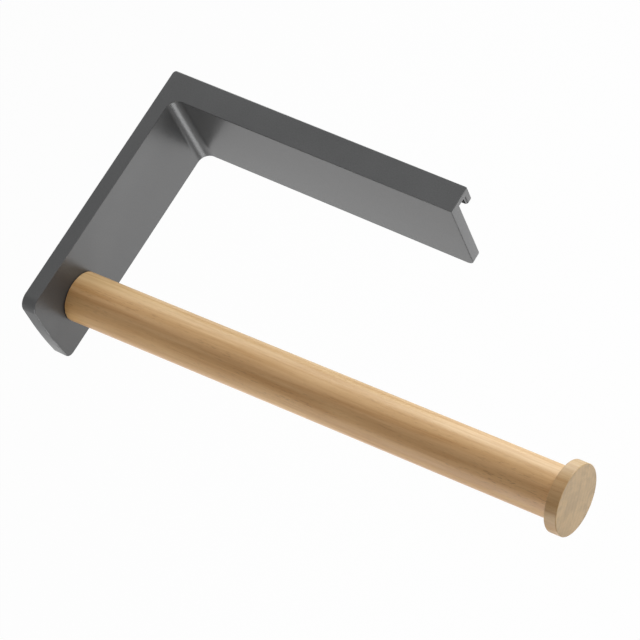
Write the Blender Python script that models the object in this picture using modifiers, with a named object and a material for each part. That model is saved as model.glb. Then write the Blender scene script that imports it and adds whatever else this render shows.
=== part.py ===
"""A rail-mounted roll holder. A one-piece metal bracket hooks over a wall rail. Its short arm stands out
into the room and carries a turned wooden rod, which ends in a wooden disc that stops the roll.

Lengths are in metres and +Z is up. The rail runs along X, the wall is towards +Y and the room towards -Y.
The origin is where the rail bears: the middle of the slot's ceiling, under the top flange.
"""

import math

import bmesh
import bpy
from mathutils import Vector

# Clearances shared by every piece
FIT_GAP = 0.0003
OVERRUN = 0.005
NEAR = 0.00001

# Bracket: the hook arm that lies along the rail
HOOK_ARM_LENGTH = 0.168
BRACKET_HEIGHT = 0.052
RAIL_SLOT_WIDTH = 0.0044
LIP_THICKNESS = 0.004
LIP_DROP = 0.0066
FLANGE_THICKNESS = 0.004
FRONT_PLATE_THICKNESS = 0.006

# Bracket: the rod arm that stands out into the room
ROD_ARM_THICKNESS = 0.008
ROD_FROM_WALL_SIDE = 0.1153
ROD_ARM_PAST_ROD = 0.026
ROD_BELOW_TOP = 0.0294

# Bracket: bends and corners
INNER_BEND_RADIUS = 0.006
OUTER_BEND_RADIUS = 0.002
FREE_TOP_CORNER_RADIUS = 0.006
BOTTOM_CORNER_RADIUS = 0.0042
LIP_END_RADIUS = 0.0015
EDGE_ROUNDING = 0.0005

# Bracket: its free end is bowed, and stands out furthest at the rod's height
FREE_TOP_SETBACK = 0.0018
FREE_BOTTOM_SETBACK = 0.0006
BOW_REACH = 0.01

# Rod: it tapers and rises towards its free end, which keeps the roll on it, and leans towards the wall
ROD_ROOT_DIAMETER = 0.0255
ROD_TIP_DIAMETER = 0.0242
ROD_LENGTH = 0.2714
ROD_TILT_UP = math.radians(4.5)
ROD_TOE_IN = math.radians(0.9)
ROD_EDGE_ROUNDING = 0.0003

# End disc
DISC_DIAMETER = 0.0334
DISC_THICKNESS = 0.006
DISC_EDGE_ROUNDING = 0.0004

# Dowel between the rod and the disc
DOWEL_DIAMETER = 0.008
DOWEL_IN_ROD = 0.018
DOWEL_IN_DISC = 0.0036
DOWEL_CHAMFER = 0.0006

# Countersunk machine screw through the rod arm, with a hexagonal socket
SCREW_DIAMETER = 0.006
SCREW_IN_ROD = 0.0125
SCREW_TIP_CHAMFER = 0.0007
SCREW_HEAD_DIAMETER = 0.012
SCREW_HEAD_RIM = 0.0005
SCREW_HEAD_SINK = 0.0003
SOCKET_ACROSS_FLATS = 0.004
SOCKET_DEPTH = 0.0022

# Threaded insert in the root of the rod, with coarse outer ridges that grip the wood
INSERT_CORE_DIAMETER = 0.0088
INSERT_RIDGE_HEIGHT = 0.0007
INSERT_LENGTH = 0.014
INSERT_RECESS = 0.0005
INSERT_RIDGES = 5

# How finely round shapes are cut
ARC_STEPS = 8
BOW_STEPS = 4
TURNED_STEPS = 72
SMALL_TURNED_STEPS = 32
EDGE_STEPS = 2
EDGE_ANGLE = math.radians(40)
SMOOTH_ANGLE = math.radians(35)
FLAT_ANGLE = math.radians(0.5)

# Colours: linear red, green, blue and alpha
GRAPHITE = (0.150, 0.153, 0.156, 1.0)
ROD_WOOD = (0.560, 0.362, 0.190, 1.0)
DISC_WOOD = (0.520, 0.372, 0.222, 1.0)
DOWEL_WOOD = (0.610, 0.450, 0.280, 1.0)
STEEL = (0.560, 0.565, 0.575, 1.0)
ZINC = (0.620, 0.590, 0.500, 1.0)

# Places along each axis
END_X = HOOK_ARM_LENGTH / 2
ROD_ARM_OUTER_X = -END_X
ROD_ARM_INNER_X = ROD_ARM_OUTER_X + ROD_ARM_THICKNESS
LIP_INNER_Y = RAIL_SLOT_WIDTH / 2
WALL_SIDE_Y = LIP_INNER_Y + LIP_THICKNESS
PLATE_BACK_Y = -RAIL_SLOT_WIDTH / 2
PLATE_FRONT_Y = PLATE_BACK_Y - FRONT_PLATE_THICKNESS
ROD_Y = WALL_SIDE_Y - ROD_FROM_WALL_SIDE
FREE_END_Y = ROD_Y - ROD_ARM_PAST_ROD
TOP_Z = FLANGE_THICKNESS
BOTTOM_Z = TOP_Z - BRACKET_HEIGHT
LIP_BOTTOM_Z = -LIP_DROP
ROD_Z = TOP_Z - ROD_BELOW_TOP

# Places along the screw's axis, square to the rod arm, from the rod's root face towards the disc
ARM_OUTER_FACE = -FIT_GAP - ROD_ARM_THICKNESS
HEAD_TOP = ARM_OUTER_FACE + SCREW_HEAD_SINK
HEAD_RIM_END = HEAD_TOP + SCREW_HEAD_RIM
HEAD_CONE_END = HEAD_RIM_END + (SCREW_HEAD_DIAMETER - SCREW_DIAMETER) / 2
INSERT_BOTTOM = INSERT_RECESS + INSERT_LENGTH

# Places along the rod's own axis, from the middle of its root face towards the disc
DISC_INNER_FACE = ROD_LENGTH + FIT_GAP
DISC_OUTER_FACE = DISC_INNER_FACE + DISC_THICKNESS
ROD_SOCKET_END = ROD_LENGTH - DOWEL_IN_ROD - FIT_GAP
DISC_SOCKET_END = DISC_INNER_FACE + DOWEL_IN_DISC + FIT_GAP

# A 45 degree cone offset squarely by the gap moves along the axis by this much more than its radius
CONE_SHIFT = FIT_GAP * (math.sqrt(2) - 1)


def clear_scene():
    for obj in list(bpy.data.objects):
        bpy.data.objects.remove(obj, do_unlink=True)


def new_collection(name):
    collection = bpy.data.collections.new(name)
    bpy.context.scene.collection.children.link(collection)
    return collection


def principled(name, color, roughness, metallic):
    material = bpy.data.materials.new(name)
    material.use_nodes = True
    material.diffuse_color = color
    shader = material.node_tree.nodes["Principled BSDF"]
    shader.inputs["Base Color"].default_value = color
    shader.inputs["Roughness"].default_value = roughness
    shader.inputs["Metallic"].default_value = metallic
    return material


def add_object(name, mesh, collection, material=None):
    obj = bpy.data.objects.new(name, mesh)
    collection.objects.link(obj)
    if material:
        mesh.materials.append(material)
    return obj


def make_cutter(obj):
    obj.hide_render = True
    obj.display_type = "WIRE"
    return obj


def cut(obj, cutter):
    modifier = obj.modifiers.new("cut " + cutter.name, "BOOLEAN")
    modifier.operation = "DIFFERENCE"
    modifier.solver = "EXACT"
    modifier.object = cutter


def evaluated_mesh(obj):
    bpy.context.view_layer.update()
    graph = bpy.context.evaluated_depsgraph_get()
    return bpy.data.meshes.new_from_object(obj.evaluated_get(graph))


def shade_smooth(mesh):
    mesh.shade_smooth()
    mesh.set_sharp_from_angle(angle=SMOOTH_ANGLE)


def edit_mesh(mesh, edit):
    """Runs one edit on the mesh's body of vertices, edges and faces."""
    body = bmesh.new()
    body.from_mesh(mesh)
    edit(body)
    body.to_mesh(mesh)
    body.free()


def weld_caps(body):
    """Joins a filled outline's loose caps to its sides."""
    bmesh.ops.remove_doubles(body, verts=body.verts, dist=NEAR)
    bmesh.ops.recalc_face_normals(body, faces=body.faces)


def join_flat_faces(body):
    """Joins the triangles of each flat face into one face, so that its edges can be rounded evenly."""
    bmesh.ops.dissolve_limit(body, angle_limit=FLAT_ANGLE, verts=body.verts, edges=body.edges)


def mark_outer_edges(body):
    """Gives the bevel weight to the edges that stand out, and none to the inner corners of the slot."""
    weight = body.edges.layers.float.new("bevel_weight_edge")
    for edge in body.edges:
        edge[weight] = float(edge.is_convex and edge.calc_face_angle() > EDGE_ANGLE)


def rounded(corners, closed=True):
    """The points of an outline through (x, y, radius) corners, with an arc at each one that has a radius."""
    points = []
    for index, (x, y, radius) in enumerate(corners):
        corner = Vector((x, y))
        if not radius:
            points.append(corner)
            continue
        following = corners[(index + 1) % len(corners)] if closed else corners[index + 1]
        to_last = (Vector(corners[index - 1][:2]) - corner).normalized()
        to_next = (Vector(following[:2]) - corner).normalized()
        half_angle = to_last.angle(to_next) / 2
        centre = corner + (to_last + to_next).normalized() * radius / math.sin(half_angle)
        reach = radius / math.tan(half_angle)
        start = corner + to_last * reach - centre
        end = corner + to_next * reach - centre
        start_angle = math.atan2(start.y, start.x)
        turn = math.remainder(math.atan2(end.y, end.x) - start_angle, math.tau)
        for step in range(ARC_STEPS + 1):
            angle = start_angle + turn * step / ARC_STEPS
            points.append(centre + Vector((math.cos(angle), math.sin(angle))) * radius)
    lasts = points[-1:] + points[:-1]
    return [point for point, last in zip(points, lasts) if (point - last).length > NEAR]


def flat_solid(name, outline, thickness, collection):
    """A closed outline raised to an even thickness, half above and half below its own plane."""
    curve = bpy.data.curves.new(name, "CURVE")
    curve.dimensions = "2D"
    curve.fill_mode = "BOTH"
    curve.extrude = thickness / 2
    spline = curve.splines.new("POLY")
    spline.points.add(len(outline) - 1)
    for point, (x, y) in zip(spline.points, outline):
        point.co = (x, y, 0, 1)
    spline.use_cyclic_u = True
    drawn = add_object(name + "_outline", curve, collection)
    mesh = evaluated_mesh(drawn)
    bpy.data.objects.remove(drawn, do_unlink=True)
    mesh.name = name
    edit_mesh(mesh, weld_caps)
    edit_mesh(mesh, join_flat_faces)
    return add_object(name, mesh, collection)


def turned(name, profile, collection, material=None, steps=TURNED_STEPS, closed=False):
    """A (radius, place along the axis) profile turned round local Z. It runs down its outer side."""
    mesh = bpy.data.meshes.new(name)
    points = [(radius, 0, along) for radius, along in profile]
    edges = [(index, index + 1) for index in range(len(points) - 1)]
    if closed:
        edges.append((len(points) - 1, 0))
    mesh.from_pydata(points, edges, [])
    obj = add_object(name, mesh, collection, material)
    screw = obj.modifiers.new("turn", "SCREW")
    screw.axis = "Z"
    screw.angle = math.tau
    screw.steps = steps
    screw.render_steps = steps
    screw.use_merge_vertices = True
    screw.merge_threshold = NEAR
    screw.use_smooth_shade = True
    baked = evaluated_mesh(obj)
    obj.modifiers.clear()
    obj.data = baked
    bpy.data.meshes.remove(mesh)
    baked.name = name
    shade_smooth(baked)
    return obj


def on_axis(obj, axis):
    obj.parent = axis
    return obj


def bow_free_end(body):
    """Sets the free end's top and bottom edges back from the line at the rod's height."""
    geometry = body.verts[:] + body.edges[:] + body.faces[:]
    bmesh.ops.bisect_plane(body, geom=geometry, plane_co=(0, 0, ROD_Z), plane_no=(0, 0, 1), dist=NEAR)
    for vert in body.verts:
        if abs(vert.co.y - FREE_END_Y) > NEAR or abs(vert.co.z - ROD_Z) < NEAR:
            continue
        vert.co.y += FREE_TOP_SETBACK if vert.co.z > ROD_Z else FREE_BOTTOM_SETBACK


def round_edges(body, radius, steps, axes, place):
    """Rounds the edges that lie at one place along two of the axes."""
    chosen = []
    for edge in body.edges:
        offsets = [abs(vert.co[axis] - value) for vert in edge.verts for axis, value in zip(axes, place)]
        if max(offsets) < NEAR:
            chosen.append(edge)
    bmesh.ops.bevel(
        body, geom=chosen, offset=radius, offset_type="OFFSET",
        segments=steps, profile=0.5, affect="EDGES",
    )


def shape_ends(body):
    """Bows and rounds the rod arm's free end, and rounds the hook arm's lower corner at its far end."""
    bow_free_end(body)
    round_edges(body, BOW_REACH, BOW_STEPS, (1, 2), (FREE_END_Y, ROD_Z))
    round_edges(body, FREE_TOP_CORNER_RADIUS, ARC_STEPS, (1, 2), (FREE_END_Y + FREE_TOP_SETBACK, TOP_Z))
    round_edges(body, BOTTOM_CORNER_RADIUS, ARC_STEPS, (1, 2), (FREE_END_Y + FREE_BOTTOM_SETBACK, BOTTOM_Z))
    round_edges(body, BOTTOM_CORNER_RADIUS, ARC_STEPS, (0, 2), (END_X, BOTTOM_Z))


def rail_channel_cutter(cutters):
    """What is open behind the front plate: the slot for the rail, and all that lies below the lip."""
    outline = [
        (PLATE_BACK_Y, BOTTOM_Z - OVERRUN),
        (WALL_SIDE_Y + OVERRUN, BOTTOM_Z - OVERRUN),
        (WALL_SIDE_Y + OVERRUN, LIP_BOTTOM_Z),
        (LIP_INNER_Y, LIP_BOTTOM_Z),
        (LIP_INNER_Y, 0),
        (PLATE_BACK_Y, 0),
    ]
    channel = flat_solid("rail_channel", outline, HOOK_ARM_LENGTH + 2 * OVERRUN, cutters)
    channel.rotation_euler = (math.radians(90), 0, math.radians(90))
    return make_cutter(channel)


def lip_end_cutter(cutters):
    """What is taken off the lip's far end, so that its inner upright edge is round."""
    arc_start_x = END_X - LIP_END_RADIUS
    arc_end_y = LIP_INNER_Y + LIP_END_RADIUS
    outline = rounded([
        (arc_start_x, 0, 0),
        (END_X + OVERRUN, 0, 0),
        (END_X + OVERRUN, arc_end_y, 0),
        (END_X, arc_end_y, 0),
        (END_X, LIP_INNER_Y, LIP_END_RADIUS),
        (arc_start_x, LIP_INNER_Y, 0),
    ])
    thickness = LIP_DROP + OVERRUN
    lip_end = flat_solid("lip_end", outline, thickness, cutters)
    lip_end.location.z = -thickness / 2
    return make_cutter(lip_end)


def screw_hole_cutter(cutters, screw_axis):
    """The countersunk hole, drilled squarely through the rod arm."""
    hole_radius = SCREW_DIAMETER / 2 + FIT_GAP
    recess_radius = SCREW_HEAD_DIAMETER / 2 + FIT_GAP
    profile = [
        (0, OVERRUN),
        (hole_radius, OVERRUN),
        (hole_radius, HEAD_CONE_END + CONE_SHIFT),
        (recess_radius, HEAD_RIM_END + CONE_SHIFT),
        (recess_radius, ARM_OUTER_FACE - OVERRUN),
        (0, ARM_OUTER_FACE - OVERRUN),
    ]
    hole = turned("screw_hole", profile, cutters, steps=SMALL_TURNED_STEPS)
    return make_cutter(on_axis(hole, screw_axis))


def socket_cutter(cutters, screw_axis):
    """The hexagonal key socket in the screw's head."""
    mesh = bpy.data.meshes.new("key_socket")
    body = bmesh.new()
    radius = SOCKET_ACROSS_FLATS / math.sqrt(3)
    depth = SOCKET_DEPTH + OVERRUN
    bmesh.ops.create_cone(body, cap_ends=True, segments=6, radius1=radius, radius2=radius, depth=depth)
    body.to_mesh(mesh)
    body.free()
    socket = add_object("key_socket", mesh, cutters)
    socket.location.z = HEAD_TOP + SOCKET_DEPTH - depth / 2
    return make_cutter(on_axis(socket, screw_axis))


def make_bracket(parts, cutters, screw_axis):
    """One seamless L of metal: hook arm and rod arm, with the rail's channel cut along the hook arm."""
    plan = rounded([
        (ROD_ARM_OUTER_X, FREE_END_Y, 0),
        (ROD_ARM_INNER_X, FREE_END_Y, 0),
        (ROD_ARM_INNER_X, PLATE_FRONT_Y, INNER_BEND_RADIUS),
        (END_X, PLATE_FRONT_Y, 0),
        (END_X, WALL_SIDE_Y, 0),
        (ROD_ARM_OUTER_X, WALL_SIDE_Y, OUTER_BEND_RADIUS),
    ])
    bracket = flat_solid("bracket", plan, BRACKET_HEIGHT, parts)
    for vert in bracket.data.vertices:
        vert.co.z += (TOP_Z + BOTTOM_Z) / 2
    edit_mesh(bracket.data, shape_ends)
    cut(bracket, rail_channel_cutter(cutters))
    cut(bracket, lip_end_cutter(cutters))
    hooked = evaluated_mesh(bracket)
    bracket.modifiers.clear()
    bracket.data = hooked
    hooked.name = "bracket"
    hooked.materials.clear()
    hooked.materials.append(principled("graphite_metal", GRAPHITE, 0.42, 0.75))
    edit_mesh(hooked, join_flat_faces)
    edit_mesh(hooked, mark_outer_edges)
    shade_smooth(hooked)

    edges = bracket.modifiers.new("soft edges", "BEVEL")
    edges.limit_method = "WEIGHT"
    edges.width = EDGE_ROUNDING
    edges.segments = EDGE_STEPS
    edges.use_clamp_overlap = False
    cut(bracket, screw_hole_cutter(cutters, screw_axis))
    return bracket


def insert_bore_cutter(cutters, screw_axis):
    """The bore for the insert, drilled squarely into the rod's slanted root face."""
    radius = INSERT_CORE_DIAMETER / 2 + INSERT_RIDGE_HEIGHT + FIT_GAP
    profile = [
        (0, INSERT_BOTTOM + FIT_GAP),
        (radius, INSERT_BOTTOM + FIT_GAP),
        (radius, -OVERRUN),
        (0, -OVERRUN),
    ]
    bore = turned("insert_bore", profile, cutters, steps=SMALL_TURNED_STEPS)
    return make_cutter(on_axis(bore, screw_axis))


def slant_root(rod, rod_axis):
    """Slants the rings at the rod's root, so that its face lies flat against the rod arm."""
    square_on = rod_axis.rotation_euler.to_matrix().transposed() @ Vector((1, 0, 0))
    for vert in rod.data.vertices:
        if vert.co.z < 2 * ROD_EDGE_ROUNDING:
            vert.co.z -= (square_on.x * vert.co.x + square_on.y * vert.co.y) / square_on.z


def make_rod(parts, cutters, rod_axis, screw_axis):
    """The turned rod, bored at its root for the insert and at its tip for the dowel."""
    root_radius = ROD_ROOT_DIAMETER / 2
    tip_radius = ROD_TIP_DIAMETER / 2
    dowel_radius = DOWEL_DIAMETER / 2 + FIT_GAP
    profile = rounded([
        (0, ROD_SOCKET_END, 0),
        (dowel_radius, ROD_SOCKET_END, 0),
        (dowel_radius, ROD_LENGTH, 0),
        (tip_radius, ROD_LENGTH, 0),
        (root_radius, 0, ROD_EDGE_ROUNDING),
        (0, 0, 0),
    ], closed=False)
    wood = principled("rod_wood", ROD_WOOD, 0.55, 0.0)
    rod = on_axis(turned("rod", profile, parts, wood), rod_axis)
    slant_root(rod, rod_axis)
    cut(rod, insert_bore_cutter(cutters, screw_axis))
    return rod


def make_end_disc(parts, rod_axis):
    radius = DISC_DIAMETER / 2
    dowel_radius = DOWEL_DIAMETER / 2 + FIT_GAP
    profile = rounded([
        (0, DISC_OUTER_FACE, 0),
        (radius, DISC_OUTER_FACE, DISC_EDGE_ROUNDING),
        (radius, DISC_INNER_FACE, DISC_EDGE_ROUNDING),
        (dowel_radius, DISC_INNER_FACE, 0),
        (dowel_radius, DISC_SOCKET_END, 0),
        (0, DISC_SOCKET_END, 0),
    ], closed=False)
    wood = principled("disc_wood", DISC_WOOD, 0.6, 0.0)
    return on_axis(turned("end_disc", profile, parts, wood), rod_axis)


def make_disc_dowel(parts, rod_axis):
    radius = DOWEL_DIAMETER / 2
    root_end = ROD_LENGTH - DOWEL_IN_ROD
    disc_end = DISC_INNER_FACE + DOWEL_IN_DISC
    profile = [
        (0, disc_end),
        (radius - DOWEL_CHAMFER, disc_end),
        (radius, disc_end - DOWEL_CHAMFER),
        (radius, root_end + DOWEL_CHAMFER),
        (radius - DOWEL_CHAMFER, root_end),
        (0, root_end),
    ]
    wood = principled("dowel_wood", DOWEL_WOOD, 0.6, 0.0)
    return on_axis(turned("disc_dowel", profile, parts, wood, SMALL_TURNED_STEPS), rod_axis)


def make_rod_screw(parts, cutters, screw_axis):
    """The screw enters from the rod arm's outer face, with its tip in the insert."""
    radius = SCREW_DIAMETER / 2
    head_radius = SCREW_HEAD_DIAMETER / 2
    profile = [
        (0, SCREW_IN_ROD),
        (radius - SCREW_TIP_CHAMFER, SCREW_IN_ROD),
        (radius, SCREW_IN_ROD - SCREW_TIP_CHAMFER),
        (radius, HEAD_CONE_END),
        (head_radius, HEAD_RIM_END),
        (head_radius, HEAD_TOP),
        (0, HEAD_TOP),
    ]
    steel = principled("screw_steel", STEEL, 0.35, 1.0)
    screw = on_axis(turned("rod_screw", profile, parts, steel, SMALL_TURNED_STEPS), screw_axis)
    cut(screw, socket_cutter(cutters, screw_axis))
    return screw


def make_rod_insert(parts, screw_axis):
    """A sleeve with sawtooth ridges outside and room for the screw inside."""
    bore_radius = SCREW_DIAMETER / 2 + FIT_GAP
    core_radius = INSERT_CORE_DIAMETER / 2
    ridge_radius = core_radius + INSERT_RIDGE_HEIGHT
    pitch = INSERT_LENGTH / (INSERT_RIDGES + 1)
    profile = [(bore_radius, INSERT_BOTTOM), (core_radius, INSERT_BOTTOM)]
    for ridge in range(INSERT_RIDGES):
        crest = INSERT_BOTTOM - pitch * (ridge + 1)
        profile.append((core_radius, crest + pitch / 2))
        profile.append((ridge_radius, crest))
        profile.append((core_radius, crest - pitch / 4))
    profile.append((core_radius, INSERT_RECESS))
    profile.append((bore_radius, INSERT_RECESS))
    zinc = principled("insert_zinc", ZINC, 0.4, 1.0)
    insert = turned("rod_insert", profile, parts, zinc, SMALL_TURNED_STEPS, closed=True)
    return on_axis(insert, screw_axis)


def make_axis(name, tilt_up, toe_in, parts):
    """An empty at the middle of the rod's root face. Its Z points out of the rod arm, turned by the angles."""
    axis = bpy.data.objects.new(name, None)
    axis.empty_display_size = ROD_ROOT_DIAMETER
    axis.location = (ROD_ARM_INNER_X + FIT_GAP, ROD_Y, ROD_Z)
    axis.rotation_euler = (0, math.radians(90) - tilt_up, toe_in)
    parts.objects.link(axis)
    return axis


def main():
    clear_scene()
    parts = new_collection("roll_holder")
    cutters = new_collection("cutters")
    rod_axis = make_axis("rod_axis", ROD_TILT_UP, ROD_TOE_IN, parts)
    screw_axis = make_axis("screw_axis", 0, 0, parts)
    make_bracket(parts, cutters, screw_axis)
    make_rod(parts, cutters, rod_axis, screw_axis)
    make_end_disc(parts, rod_axis)
    make_disc_dowel(parts, rod_axis)
    make_rod_screw(parts, cutters, screw_axis)
    make_rod_insert(parts, screw_axis)
    bpy.context.view_layer.update()


main()
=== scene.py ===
import math

import bpy
from mathutils import Matrix, Vector

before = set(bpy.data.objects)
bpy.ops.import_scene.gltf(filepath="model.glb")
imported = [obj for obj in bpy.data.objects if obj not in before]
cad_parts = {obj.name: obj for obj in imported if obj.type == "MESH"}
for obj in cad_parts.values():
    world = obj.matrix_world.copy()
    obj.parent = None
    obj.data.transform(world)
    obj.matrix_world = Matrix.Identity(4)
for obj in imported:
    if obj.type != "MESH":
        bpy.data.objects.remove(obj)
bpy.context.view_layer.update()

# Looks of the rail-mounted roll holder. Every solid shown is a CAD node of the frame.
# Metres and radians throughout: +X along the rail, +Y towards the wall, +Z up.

# Camera, fitted to the photograph's edges
CAMERA_PLACE = (0.513035, -0.359873, 0.888605)
CAMERA_RIGHT = (0.819281, 0.509765, -0.262522)
CAMERA_DOWN = (0.365943, -0.817326, -0.445043)
CAMERA_AHEAD = (-0.441434, 0.268548, -0.856165)
CAMERA_LENS = 129.295
CAMERA_SENSOR_WIDTH = 36
CAMERA_SHIFT_X = 0.00186
CAMERA_SHIFT_Y = 0.0067
CAMERA_NEAREST = 0.05

# Rod axis: it starts at the rod arm's inner face, rises and leans towards the wall
ROD_ROOT = Vector((-0.0757, -0.1091, -0.0254))
ROD_TURN = Matrix.Rotation(math.radians(0.9), 3, "Z") @ Matrix.Rotation(math.radians(-4.5), 3, "Y")
ROD_RADIUS = 0.0125

# Stage
WHITE = (1, 1, 1, 1)
FLOOR_Z = -1.30
FLOOR_SIZE = 60.0
FLOOR_COLOUR = (0.90, 0.90, 0.90, 1)
FLOOR_SHADE_SHARE = 0.05
BACKDROP_LEVEL = 0.965
STUDIO_LEVEL = 0.25
LAMP_TARGET = Vector((0, -0.06, 0))

# Faces that meet at less than this angle are shaded as one smooth surface
SMOOTH_ANGLE = math.radians(28)
WELD_DISTANCE = 0.000002
FLAT_FACE_WEIGHT = 100

# Graphite coating. Texture scales are in cycles per metre, bumps are a strength and a height.
CLOUD_SCALE = 22
GRAIN_SCALE = 1500
SPECKLE_SCALE = 5200
WEAR_SCALE = 420
COATING_DARK = (0.085, 0.086, 0.087)
COATING_LIGHT = (0.098, 0.099, 0.100)
COATING_METALLIC = 0.45
COATING_ROUGHNESS = (0.29, 0.35)
COATING_GRAZING_TINT = (0.5, 0.5, 0.5, 1)
GRAIN_BUMP = (0.10, 0.00008)
SPECKLE_BUMP = (0.06, 0.00003)
EDGE_REACH = 0.0006
EDGE_SAMPLES = 6
WORN_COLOUR = (0.19, 0.19, 0.19)
WORN_SHARE = 0.15
WORN_POLISH = 0.08

# Wood textures: cycles per metre along the fibres and across them
SWAY_SCALE = (7, 55)
BROAD_SCALE = (9, 130)
STREAK_SCALE = (11, 290)
FIBRE_SCALE = (38, 700)
FINE_SCALE = (130, 2600)
FLECK_SCALE = (260, 1900)
END_PATCH_SCALE = (40, 130)
END_DOT_SCALE = (200, 1300)

# How far each texture takes the side grain from light to dark, and the end grain to its own dark
LATE_SHARE = 0.20
BROAD_SHARE = 0.28
STREAK_SHARE = 0.34
FIBRE_SHARE = 0.20
FINE_SHARE = 0.14
FLECK_SHARE = 0.60
FLECK_DARKNESS = 0.5
END_LATE_SHARE = 0.16
END_PATCH_SHARE = 0.30
END_DOT_SHARE = 0.14
END_DARKNESS = 0.42

# Growth rings: how far they sway, and the tone from one dark line to the next
RING_SWAY = 0.006
RING_TONES = ((0.0, 0.9), (0.12, 0.25), (0.55, 0.35), (0.92, 1.0), (1.0, 0.9))

# Round the rod, from the room side at 0 to the wall side at 1: painted light, warm in the room side's
# shade and pale with painted sheen on the wall side; and the grain's flecks
PAINTED_SHEEN_TINTS = (
    (0.02, (1.04, 0.985, 0.85)),
    (0.14, (1.11, 1.02, 0.92)),
    (0.36, (1.10, 1.03, 1.03)),
    (0.75, (0.985, 1.07, 1.20)),
)
SIDE_FLECKS = ((0.05, 0.7), (0.25, 1.0), (0.60, 0.35))

# Finish of the wood
WOOD_ROUGHNESS = (0.37, 0.50)
WOOD_IOR = 1.5
FIBRE_BUMP = (0.22, 0.00012)
FINE_BUMP = (0.20, 0.00006)

# Plain machined metal
SMEAR_SCALE = 260
SMEAR_DARKNESS = 0.86
RING_BUMP = (0.12, 0.00003)


# Node graphs

class Graph:
    """Adds nodes to a material, with values or other nodes' outputs as inputs."""

    def __init__(self, tree):
        self.tree = tree
        tree.nodes.clear()

    def add(self, kind, inputs=None, **settings):
        node = self.tree.nodes.new(kind)
        for name, value in settings.items():
            setattr(node, name, value)
        for key, value in (inputs or {}).items():
            if isinstance(value, bpy.types.NodeSocket):
                self.tree.links.new(value, node.inputs[key])
            else:
                node.inputs[key].default_value = value
        return node

    def math(self, operation, *values):
        return self.add("ShaderNodeMath", dict(enumerate(values)), operation=operation).outputs[0]

    def sum_of_shares(self, parts):
        """Adds up outputs, each times its share."""
        total = 0.0
        for output, share in parts:
            total = self.math("MULTIPLY_ADD", output, share, total)
        return total

    def dot(self, first, second):
        node = self.add("ShaderNodeVectorMath", {0: first, 1: second}, operation="DOT_PRODUCT")
        return node.outputs["Value"]

    def between(self, factor, low, high):
        """Takes a factor of 0 to low and a factor of 1 to high."""
        inputs = {"Value": factor, "To Min": low, "To Max": high}
        return self.add("ShaderNodeMapRange", inputs).outputs["Result"]

    def ramp(self, factor, stops):
        """A colour ramp. A stop is a place and a grey level or a colour."""
        node = self.add("ShaderNodeValToRGB", {"Fac": factor})
        elements = node.color_ramp.elements
        while len(elements) < len(stops):
            elements.new(0.5)
        for element, (place, colour) in zip(elements, stops):
            grey = isinstance(colour, (int, float))
            element.position = place
            element.color = (colour, colour, colour, 1) if grey else (*colour, 1)
        return node.outputs["Color"]

    def rise(self, factor, start, end):
        """0 up to start, 1 from end on, and a straight rise between them."""
        return self.ramp(factor, ((start, 0.0), (end, 1.0)))

    def mix(self, factor, first, second, blend="MIX"):
        node = self.add("ShaderNodeMix", data_type="RGBA", blend_type=blend)
        for key, value in ((0, factor), (6, first), (7, second)):
            if isinstance(value, bpy.types.NodeSocket):
                self.tree.links.new(value, node.inputs[key])
            elif key == 0:
                node.inputs[key].default_value = value
            else:
                node.inputs[key].default_value = (*value, 1)
        return node.outputs[2]

    def object_place(self, origin=Vector(), turn=Matrix.Identity(3)):
        """Object coordinates from origin, along turned axes."""
        place = self.add("ShaderNodeTexCoord").outputs["Object"]
        back = turn.transposed()
        inputs = {"Vector": place, "Location": -(back @ origin), "Rotation": back.to_euler()}
        return self.add("ShaderNodeMapping", inputs).outputs["Vector"]

    def noise(self, vector, scale=1.0, detail=3.0, roughness=0.5, distortion=0.0):
        inputs = {
            "Vector": vector,
            "Scale": scale,
            "Detail": detail,
            "Roughness": roughness,
            "Distortion": distortion,
        }
        return self.add("ShaderNodeTexNoise", inputs).outputs["Fac"]

    def grain(self, vector, scale, **settings):
        """Noise drawn out along X. The scale is along X and across it."""
        along, across = scale
        inputs = {"Vector": vector, "Scale": (along, across, across)}
        return self.noise(self.add("ShaderNodeMapping", inputs).outputs["Vector"], **settings)

    def bump(self, height, strength, distance, normal=None):
        inputs = {"Height": height, "Strength": strength, "Distance": distance}
        if normal is not None:
            inputs["Normal"] = normal
        return self.add("ShaderNodeBump", inputs).outputs["Normal"]

    def finish(self, inputs):
        shader = self.add("ShaderNodeBsdfPrincipled", inputs)
        self.add("ShaderNodeOutputMaterial", {"Surface": shader.outputs["BSDF"]})


def new_material(name):
    material = bpy.data.materials.new(name)
    material.use_nodes = True
    return material, Graph(material.node_tree)


def times(factor, colour):
    return tuple(factor * part for part in colour)


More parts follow.
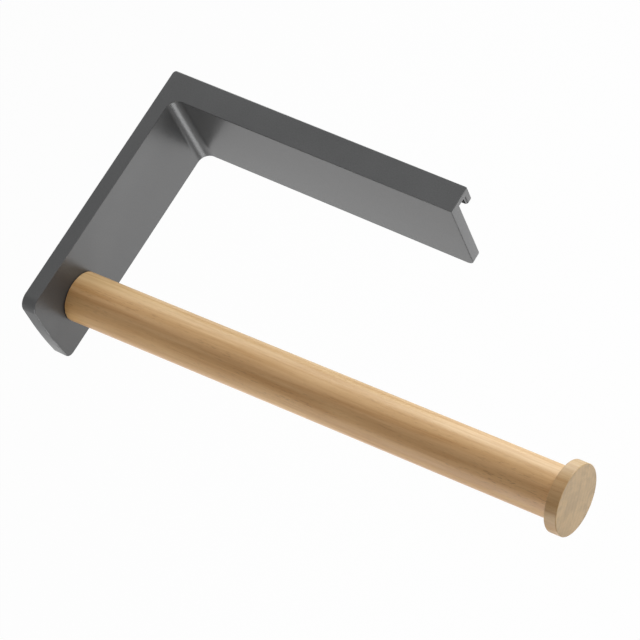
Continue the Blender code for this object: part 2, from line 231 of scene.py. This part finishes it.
def graphite_coating():
    """Satin graphite coating: fine even grain, faint clouds, slightly polished edges."""
    material, graph = new_material("graphite_metal_look")
    place = graph.object_place()
    clouds = graph.noise(place, scale=CLOUD_SCALE, detail=4, roughness=0.6)
    grain = graph.noise(place, scale=GRAIN_SCALE, detail=5, roughness=0.65)
    speckle = graph.noise(place, scale=SPECKLE_SCALE, detail=2)
    wear = graph.noise(place, scale=WEAR_SCALE, detail=5)
    base = graph.ramp(clouds, ((0.30, COATING_DARK), (0.70, COATING_LIGHT)))
    mottle = graph.ramp(grain, ((0.32, 0.90), (0.70, 1.08)))
    colour = graph.mix(1.0, base, mottle, blend="MULTIPLY")

    # An edge is where the normal, rounded over its surroundings, leaves the face's own
    rounded = graph.add("ShaderNodeBevel", {"Radius": EDGE_REACH}, samples=EDGE_SAMPLES)
    face_normal = graph.add("ShaderNodeNewGeometry").outputs["Normal"]
    edge = graph.ramp(graph.dot(rounded.outputs["Normal"], face_normal), ((0.80, 1.0), (0.985, 0.0)))
    worn = graph.math("MULTIPLY", edge, graph.ramp(wear, ((0.42, 0.15), (0.66, 0.8))))
    colour = graph.mix(graph.math("MULTIPLY", worn, WORN_SHARE), colour, WORN_COLOUR)

    roughness = graph.between(clouds, *COATING_ROUGHNESS)
    roughness = graph.math("SUBTRACT", roughness, graph.math("MULTIPLY", worn, WORN_POLISH))
    normal = graph.bump(grain, *GRAIN_BUMP)
    normal = graph.bump(speckle, *SPECKLE_BUMP, normal)
    graph.finish({
        "Base Color": colour,
        "Metallic": COATING_METALLIC,
        "Roughness": roughness,
        "Normal": normal,
        "Specular Tint": COATING_GRAZING_TINT,
    })
    return material


def turned_wood(name, dark, light, end_colour, pith, ring_width, shift):
    """Pale turned wood: rings round a far pith, long fibres, short dark flecks, greyer end grain.

    The pith lies beside the rod's axis. The shift moves the grain along the rod.
    """
    material, graph = new_material(name)
    place = graph.object_place(ROD_ROOT, ROD_TURN)
    inputs = {0: place, 1: (shift, *pith)}
    from_pith = graph.add("ShaderNodeVectorMath", inputs, operation="SUBTRACT").outputs["Vector"]
    sway = graph.grain(from_pith, SWAY_SCALE, detail=2)
    broad = graph.grain(from_pith, BROAD_SCALE, detail=3, roughness=0.55)
    streak = graph.grain(from_pith, STREAK_SCALE, detail=3, roughness=0.6, distortion=0.3)
    fibre = graph.grain(from_pith, FIBRE_SCALE, detail=4, roughness=0.6)
    fine = graph.grain(from_pith, FINE_SCALE, detail=3, roughness=0.6)
    fleck = graph.grain(from_pith, FLECK_SCALE, detail=2)
    patch = graph.grain(from_pith, END_PATCH_SCALE, detail=3, roughness=0.55, distortion=0.6)
    dot = graph.grain(from_pith, END_DOT_SCALE, detail=3, roughness=0.7)

    # Growth rings
    apart = graph.add("ShaderNodeSeparateXYZ", {"Vector": from_pith})
    across = graph.math("POWER", apart.outputs["Y"], 2)
    upward = graph.math("POWER", apart.outputs["Z"], 2)
    radius = graph.math("SQRT", graph.math("ADD", across, upward))
    swayed = graph.math("MULTIPLY_ADD", sway, RING_SWAY, radius)
    late = graph.ramp(graph.math("FRACT", graph.math("DIVIDE", swayed, ring_width)), RING_TONES)

    # Side grain, tinted round the rod by painted sheen and painted shade
    side_tone = graph.sum_of_shares((
        (late, LATE_SHARE),
        (graph.rise(broad, 0.34, 0.66), BROAD_SHARE),
        (graph.rise(streak, 0.44, 0.66), STREAK_SHARE),
        (graph.rise(fibre, 0.28, 0.72), FIBRE_SHARE),
        (fine, FINE_SHARE),
    ))
    sideways = graph.add("ShaderNodeSeparateXYZ", {"Vector": place}).outputs["Y"]
    limits = {"Value": sideways, "From Min": -ROD_RADIUS, "From Max": ROD_RADIUS}
    flank = graph.add("ShaderNodeMapRange", limits).outputs["Result"]
    side = graph.mix(side_tone, light, dark)
    # Painted light: the grain turns warm on the shaded room side and pale with painted sheen on the wall
    # side
    side = graph.mix(1.0, side, graph.ramp(flank, PAINTED_SHEEN_TINTS), blend="MULTIPLY")
    in_dark_grain = graph.ramp(broad, ((0.42, 0.25), (0.60, 1.0)))
    flecks = graph.math("MULTIPLY", graph.rise(fleck, 0.57, 0.67), in_dark_grain)
    flecks = graph.math("MULTIPLY", flecks, graph.ramp(flank, SIDE_FLECKS))
    side = graph.mix(graph.math("MULTIPLY", flecks, FLECK_SHARE), side, times(FLECK_DARKNESS, dark))

    # End grain, on faces that look along the rod
    end_tone = graph.sum_of_shares((
        (late, END_LATE_SHARE),
        (graph.rise(patch, 0.38, 0.60), END_PATCH_SHARE),
        (graph.rise(dot, 0.35, 0.72), END_DOT_SHARE),
    ))
    end = graph.mix(end_tone, end_colour, times(END_DARKNESS, end_colour))
    facing = graph.dot(graph.add("ShaderNodeTexCoord").outputs["Normal"], ROD_TURN.col[0])
    is_end = graph.rise(graph.math("ABSOLUTE", facing), 0.55, 0.92)

    normal = graph.bump(fibre, *FIBRE_BUMP)
    normal = graph.bump(fine, *FINE_BUMP, normal)
    graph.finish({
        "Base Color": graph.mix(is_end, side, end),
        "Roughness": graph.between(fibre, *WOOD_ROUGHNESS),
        "Normal": normal,
        "IOR": WOOD_IOR,
    })
    return material


def turned_metal(name, colour, roughness, ring_scale):
    """Plain machined metal with fine turning rings about the screw's axis."""
    material, graph = new_material(name)
    place = graph.object_place(ROD_ROOT)
    inputs = {"Vector": place, "Scale": ring_scale, "Distortion": 0.6, "Detail": 2.0}
    rings = graph.add("ShaderNodeTexWave", inputs, wave_type="RINGS", rings_direction="X").outputs["Fac"]
    smear = graph.noise(place, scale=SMEAR_SCALE, detail=4, roughness=0.6)
    tinted = graph.ramp(smear, ((0.30, times(SMEAR_DARKNESS, colour)), (0.72, colour)))
    ring_shade = graph.ramp(rings, ((0.0, 0.90), (1.0, 1.0)))
    graph.finish({
        "Base Color": graph.mix(1.0, tinted, ring_shade, blend="MULTIPLY"),
        "Metallic": 1.0,
        "Roughness": graph.between(smear, roughness - 0.06, roughness + 0.08),
        "Normal": graph.bump(rings, *RING_BUMP),
    })
    return material


# Smooth shading of the rounded faces, by a modifier that keeps every corner in place

def smooth_shading():
    tree = bpy.data.node_groups.new("smooth_rounded_faces", "GeometryNodeTree")
    tree.is_modifier = True
    tree.interface.new_socket("Geometry", in_out="INPUT", socket_type="NodeSocketGeometry")
    tree.interface.new_socket("Geometry", in_out="OUTPUT", socket_type="NodeSocketGeometry")
    nodes, link = tree.nodes, tree.links.new
    source = nodes.new("NodeGroupInput")
    result = nodes.new("NodeGroupOutput")
    weld = nodes.new("GeometryNodeMergeByDistance")
    weld.inputs["Distance"].default_value = WELD_DISTANCE
    all_faces = nodes.new("GeometryNodeSetShadeSmooth")
    all_faces.domain = "FACE"
    sharp_edges = nodes.new("GeometryNodeSetShadeSmooth")
    sharp_edges.domain = "EDGE"
    sharp_edges.inputs["Shade Smooth"].default_value = False
    angle = nodes.new("GeometryNodeInputMeshEdgeAngle")
    is_sharp = nodes.new("FunctionNodeCompare")
    is_sharp.data_type = "FLOAT"
    is_sharp.operation = "GREATER_THAN"
    is_sharp.inputs[1].default_value = SMOOTH_ANGLE
    link(source.outputs[0], weld.inputs["Geometry"])
    link(weld.outputs["Geometry"], all_faces.inputs["Geometry"])
    link(all_faces.outputs["Geometry"], sharp_edges.inputs["Geometry"])
    link(angle.outputs["Unsigned Angle"], is_sharp.inputs[0])
    link(is_sharp.outputs[0], sharp_edges.inputs["Selection"])
    link(sharp_edges.outputs["Geometry"], result.inputs[0])
    return tree


# Materials of the six nodes

wood_rod = turned_wood(
    "rod_wood_look",
    dark=(0.385, 0.192, 0.052),
    light=(0.650, 0.435, 0.213),
    end_colour=(0.560, 0.375, 0.180),
    pith=(0.052, -0.031),
    ring_width=0.0031,
    shift=0.0,
)
wood_disc = turned_wood(
    "disc_wood_look",
    dark=(0.330, 0.176, 0.054),
    light=(0.535, 0.370, 0.186),
    end_colour=(0.595, 0.394, 0.176),
    pith=(-0.034, 0.041),
    ring_width=0.0027,
    shift=0.37,
)
wood_dowel = turned_wood(
    "dowel_wood_look",
    dark=(0.440, 0.290, 0.150),
    light=(0.660, 0.500, 0.320),
    end_colour=(0.560, 0.440, 0.300),
    pith=(0.020, 0.035),
    ring_width=0.0022,
    shift=0.81,
)
looks = {
    "bracket": graphite_coating(),
    "rod": wood_rod,
    "end_disc": wood_disc,
    "disc_dowel": wood_dowel,
    "rod_screw": turned_metal("screw_steel_look", (0.560, 0.565, 0.575), roughness=0.30, ring_scale=520),
    "rod_insert": turned_metal("insert_zinc_look", (0.620, 0.590, 0.500), roughness=0.38, ring_scale=430),
}
smooth = smooth_shading()
for name, material in looks.items():
    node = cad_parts[name]
    for slot in node.material_slots:
        slot.material = material
    node.modifiers.new("smooth_rounded_faces", "NODES").node_group = smooth
    flat_faces = node.modifiers.new("flat_faces_stay_flat", "WEIGHTED_NORMAL")
    flat_faces.mode = "FACE_AREA"
    flat_faces.weight = FLAT_FACE_WEIGHT
    flat_faces.keep_sharp = True


# Stage: a wide pale floor well below the part, which hangs on its rail and stands on nothing

half = FLOOR_SIZE / 2
corners = [(-half, -half, 0), (half, -half, 0), (half, half, 0), (-half, half, 0)]
floor_mesh = bpy.data.meshes.new("floor")
floor_mesh.from_pydata(corners, [], [(0, 1, 2, 3)])
floor = bpy.data.objects.new("floor", floor_mesh)
floor.location.z = FLOOR_Z
bpy.context.scene.collection.objects.link(floor)


def seen_directly(graph):
    """1 for rays that show the stage itself: camera, mirror and see-through rays."""
    path = graph.add("ShaderNodeLightPath")
    seen = graph.math("MAXIMUM", path.outputs["Is Camera Ray"], path.outputs["Is Glossy Ray"])
    return graph.math("MAXIMUM", seen, path.outputs["Is Transmission Ray"])


floor_material, graph = new_material("floor_look")
plain = graph.add("ShaderNodeBsdfDiffuse", {"Color": FLOOR_COLOUR})
white = graph.add("ShaderNodeEmission", {"Color": WHITE, "Strength": 1.0})
white_share = graph.math("MULTIPLY", seen_directly(graph), 1 - FLOOR_SHADE_SHARE)
surface = graph.add("ShaderNodeMixShader", {0: white_share, 1: plain.outputs[0], 2: white.outputs[0]})
graph.add("ShaderNodeOutputMaterial", {"Surface": surface.outputs[0]})
floor_mesh.materials.append(floor_material)

world = bpy.data.worlds.new("studio")
bpy.context.scene.world = world
world.use_nodes = True
graph = Graph(world.node_tree)
strength = graph.math("MULTIPLY_ADD", seen_directly(graph), BACKDROP_LEVEL - STUDIO_LEVEL, STUDIO_LEVEL)
studio = graph.add("ShaderNodeBackground", {"Color": WHITE, "Strength": strength})
graph.add("ShaderNodeOutputWorld", {"Surface": studio.outputs[0]})


# Soft lamps, each a square panel that faces the part. The three low ones stand where the bracket's
# room side, its faces across the rail and its inner bend mirror the camera's rays.

def softbox(name, place, size, power):
    data = bpy.data.lights.new(name, "AREA")
    data.shape = "SQUARE"
    data.size = size
    data.energy = power
    lamp = bpy.data.objects.new(name, data)
    lamp.location = place
    lamp.rotation_euler = (LAMP_TARGET - Vector(place)).to_track_quat("-Z", "Y").to_euler()
    lamp.visible_camera = False
    bpy.context.scene.collection.objects.link(lamp)


softbox("wall_left_softbox", (-0.52, 1.32, 0.30), size=1.1, power=14.4)
softbox("wall_right_softbox", (0.46, 1.30, 0.84), size=0.9, power=25.6)
softbox("room_side_softbox", (-0.05, -1.30, -0.34), size=0.9, power=8.5)
softbox("right_softbox", (1.60, 0.20, 0.20), size=0.9, power=4.3)
softbox("low_left_softbox", (-0.25, -0.19, -0.60), size=0.36, power=0.29)
softbox("low_right_softbox", (0.33, 0.20, -0.62), size=0.33, power=0.60)
softbox("low_front_softbox", (0.24, -0.36, -0.60), size=0.28, power=1.25)


# Camera

camera_data = bpy.data.cameras.new("camera")
camera_data.lens = CAMERA_LENS
camera_data.sensor_width = CAMERA_SENSOR_WIDTH
camera_data.shift_x = CAMERA_SHIFT_X
camera_data.shift_y = CAMERA_SHIFT_Y
camera_data.clip_start = CAMERA_NEAREST
camera = bpy.data.objects.new("camera", camera_data)
columns = Matrix((CAMERA_RIGHT, -Vector(CAMERA_DOWN), -Vector(CAMERA_AHEAD))).transposed()
camera.matrix_world = Matrix.Translation(CAMERA_PLACE) @ columns.to_4x4()
bpy.context.scene.collection.objects.link(camera)
bpy.context.scene.camera = camera
bpy.context.scene.view_settings.view_transform = "Standard"
